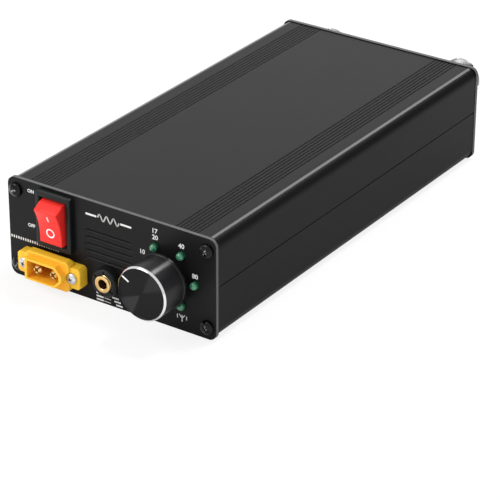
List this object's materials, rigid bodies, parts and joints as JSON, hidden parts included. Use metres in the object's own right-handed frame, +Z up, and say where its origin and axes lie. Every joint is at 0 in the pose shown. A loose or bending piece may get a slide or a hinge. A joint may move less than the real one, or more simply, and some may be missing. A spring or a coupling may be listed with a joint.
{
  "type": "hf linear amplifier",
  "caption": "Desk-top short-wave linear amplifier: split extruded case, rocker switch, two-pin supply socket, key jack, band knob ringed by lamps and rear coax sockets.",
  "frame": {"origin": "on the surface that the case stands on, under the middle of the case", "axes": "+X to the right seen from the front, +Y from the front panel to the rear panel, +Z up"},
  "size_m": [0.088, 0.205, 0.038],
  "materials": {
    "case_black": "black anodised, satin",
    "panel_black": "matt black with bare cut edges",
    "dark_screws": "blackened steel",
    "black_nylon": "moulded black nylon",
    "rocker_red": "glossy red",
    "socket_yellow": "satin yellow nylon",
    "gold_plate": "gold-plated brass",
    "bright_steel": "zinc-plated steel",
    "tinned_metal": "tinned brass",
    "white_nylon": "natural nylon",
    "selector_metal": "die-cast",
    "shaft_steel": "turned steel",
    "wafer_brown": "laminated board",
    "knob_black": "black anodised with a bright cut rim",
    "lamp_green": "clear green resin, unlit",
    "board_green": "solder-masked glass board",
    "cable_grey": "grey insulation",
    "pad_grey": "silicone pad",
    "epoxy_black": "moulded epoxy",
    "ferrite": "dark ferrite",
    "brass_plate": "bare brass",
    "wire_red": "red insulation",
    "copper": "enamelled copper",
    "core_red": "painted iron powder",
    "capacitor_orange": "dipped film",
    "relay_blue": "moulded case",
    "can_blue": "sleeved can",
    "fuse_amber": "clear amber",
    "socket_nickel": "nickel-plated brass",
    "wire_black": "black insulation"
  },
  "bodies": {
    "case": {"lower_case": "case_black", "upper_case": "case_black", "front_panel": "panel_black", "rear_panel": "panel_black", "front_panel_screws": "dark_screws", "rear_panel_screws": "dark_screws", "switch_body": "black_nylon", "switch_terminals": "tinned_metal", "power_socket": "socket_yellow", "power_pins": "gold_plate", "power_socket_screws": "bright_steel", "power_socket_nuts": "bright_steel", "jack_body": "black_nylon", "jack_bush": "gold_plate", "jack_collar": "black_nylon", "jack_contacts": "tinned_metal", "selector_body": "selector_metal", "selector_wafer": "wafer_brown", "selector_washer": "bright_steel", "selector_nut": "bright_steel", "lamps": "lamp_green", "lamp_legs": "tinned_metal", "lamp_board": "board_green", "ribbon_cable": "cable_grey", "main_board": "board_green", "heat_spreader": "selector_metal", "spreader_screws": "bright_steel", "thermal_pads": "pad_grey", "power_transistors": "epoxy_black", "transistor_screws": "bright_steel", "output_cores": "ferrite", "output_end_plates": "brass_plate", "output_winding": "wire_red", "input_core": "ferrite", "input_winding": "copper", "filter_cores": "core_red", "filter_windings": "copper", "filter_capacitors": "capacitor_orange", "filter_relays": "relay_blue", "changeover_relays": "relay_blue", "supply_capacitors": "can_blue", "bias_regulator": "epoxy_black", "fuse_holder": "black_nylon", "fuse": "fuse_amber", "antenna_socket": "socket_nickel", "input_socket": "socket_nickel", "socket_insulators": "white_nylon", "socket_contacts": "gold_plate", "socket_nuts": "socket_nickel", "supply_leads": "wire_red", "ground_lead": "wire_black", "signal_leads": "copper"},
    "rocker": {"switch_rocker": "rocker_red", "switch_plunger": "white_nylon"},
    "contact_lever": {"switch_lever": "tinned_metal"},
    "band_knob": {"selector_shaft": "shaft_steel", "knob": "knob_black", "knob_grub_screw": "bright_steel"}
  },
  "joints": [
    {"name": "rocker_tilt", "type": "hinge", "parent": "case", "child": "rocker", "pos_m": [-0.023, -0.0866, 0.0263], "axis": [-1, 0, 0], "range_deg": [0, 25]},
    {"name": "lever_tilt", "type": "hinge", "parent": "case", "child": "contact_lever", "pos_m": [-0.023, -0.0789, 0.0263], "axis": [-1, 0, 0], "range_deg": [-14, 0]},
    {"name": "knob_turn", "type": "hinge", "parent": "case", "child": "band_knob", "pos_m": [0.0245, -0.0921, 0.019], "axis": [0, 1, 0], "range_deg": [-30, 150]}
  ],
  "couplings": [
    {"joint": "lever_tilt", "follows": "rocker_tilt", "ratio": -0.56}
  ]
}
